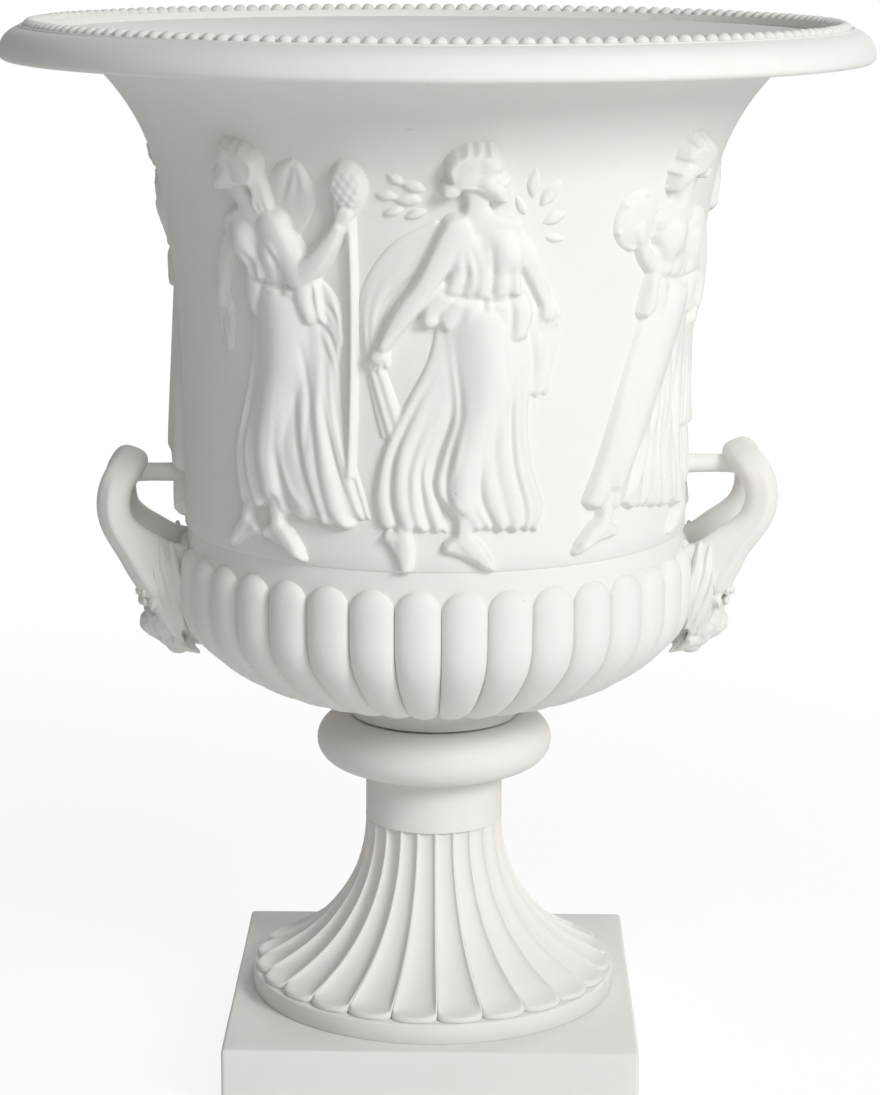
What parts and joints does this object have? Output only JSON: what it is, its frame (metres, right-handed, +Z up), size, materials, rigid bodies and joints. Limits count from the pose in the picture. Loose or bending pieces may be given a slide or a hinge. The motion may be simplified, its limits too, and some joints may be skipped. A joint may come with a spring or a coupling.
{
  "type": "two-handled garden urn",
  "caption": "Campana-shaped garden urn with a figured drum, lobed belly, mask handles, a fluted pedestal foot and a square plinth, for planting.",
  "frame": {"origin": "middle of the plinth's underside, on the ground", "axes": "+Z up along the urn's axis, -Y towards the front, the handles at +X and -X"},
  "size_m": [0.6206, 0.6205, 0.7705],
  "materials": {
    "cast_stone": "matt white cast stone with fine pits",
    "rubber_seal": "matt sheet rubber",
    "steel": "plain stainless steel"
  },
  "bodies": {
    "root": {"plinth": "cast_stone", "pedestal": "cast_stone", "bowl": "cast_stone", "mask_right": "cast_stone", "mask_left": "cast_stone", "handle_right": "cast_stone", "handle_left": "cast_stone", "strut_right": "cast_stone", "strut_left": "cast_stone", "bowl_gasket": "rubber_seal", "mask_dowels": "steel", "handle_dowels": "steel", "strut_dowels": "steel", "tie_rod": "steel", "clamp_bar": "steel", "washers": "steel", "nuts": "steel"}
  },
  "joints": []
}
